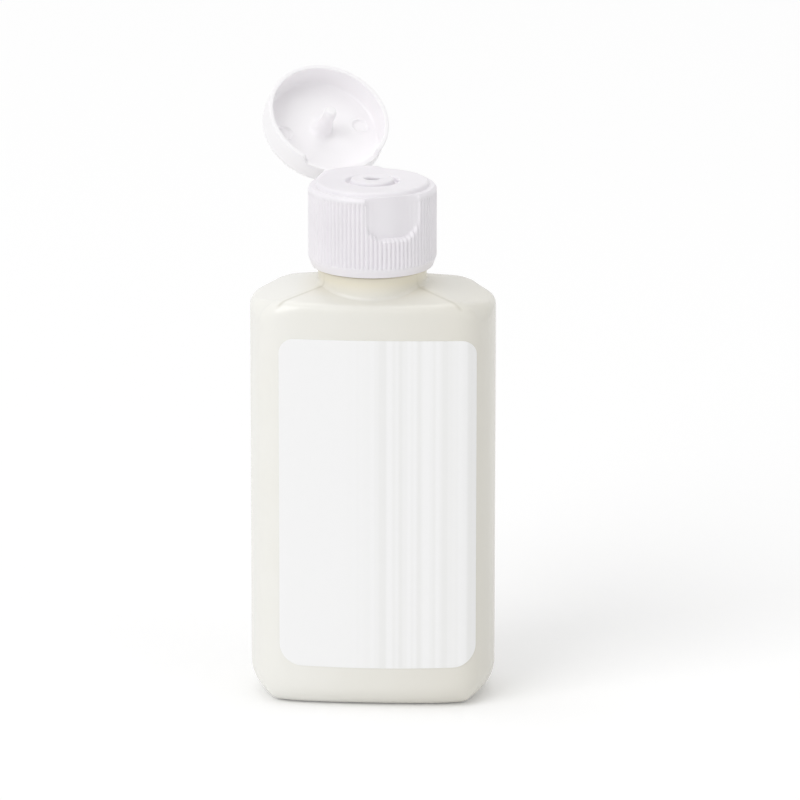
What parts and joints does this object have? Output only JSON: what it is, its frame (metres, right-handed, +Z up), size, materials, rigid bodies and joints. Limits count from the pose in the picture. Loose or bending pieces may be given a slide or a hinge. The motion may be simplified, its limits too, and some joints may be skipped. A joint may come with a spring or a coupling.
{
  "type": "hand sanitizer bottle",
  "caption": "small rectangular squeeze bottle with a faceted shoulder, a blank front label and a ribbed screw cap whose hinged lid stands open",
  "frame": {"origin": "middle of the foot on the plane that the bottle stands on", "axes": "+Z up along the neck, -Y out of the labelled front face, +X to the right as seen from the front"},
  "size_m": [0.0446, 0.0416, 0.1103],
  "materials": {
    "bottle_plastic": "clear to milky blow-moulded plastic with a soft gloss",
    "gel": "pale cloudy gel",
    "label_film": "white plastic film with a satin surface",
    "cap_plastic": "white moulded plastic with a soft gloss"
  },
  "bodies": {
    "bottle": {"bottle": "bottle_plastic", "gel": "gel", "front_label": "label_film"},
    "cap": {"cap_base": "cap_plastic"},
    "lid": {"lid": "cap_plastic"}
  },
  "joints": [
    {"name": "cap_turn", "type": "hinge", "parent": "bottle", "child": "cap", "pos_m": [0, 0, 0.07952], "axis": [0, 0, 1], "range_deg": [0, 540]},
    {"name": "lid_hinge", "type": "hinge", "parent": "cap", "child": "lid", "pos_m": [-0.00518, 0.01016, 0.09462], "axis": [0.891, 0.454, 0], "range_deg": [0, 137]}
  ]
}
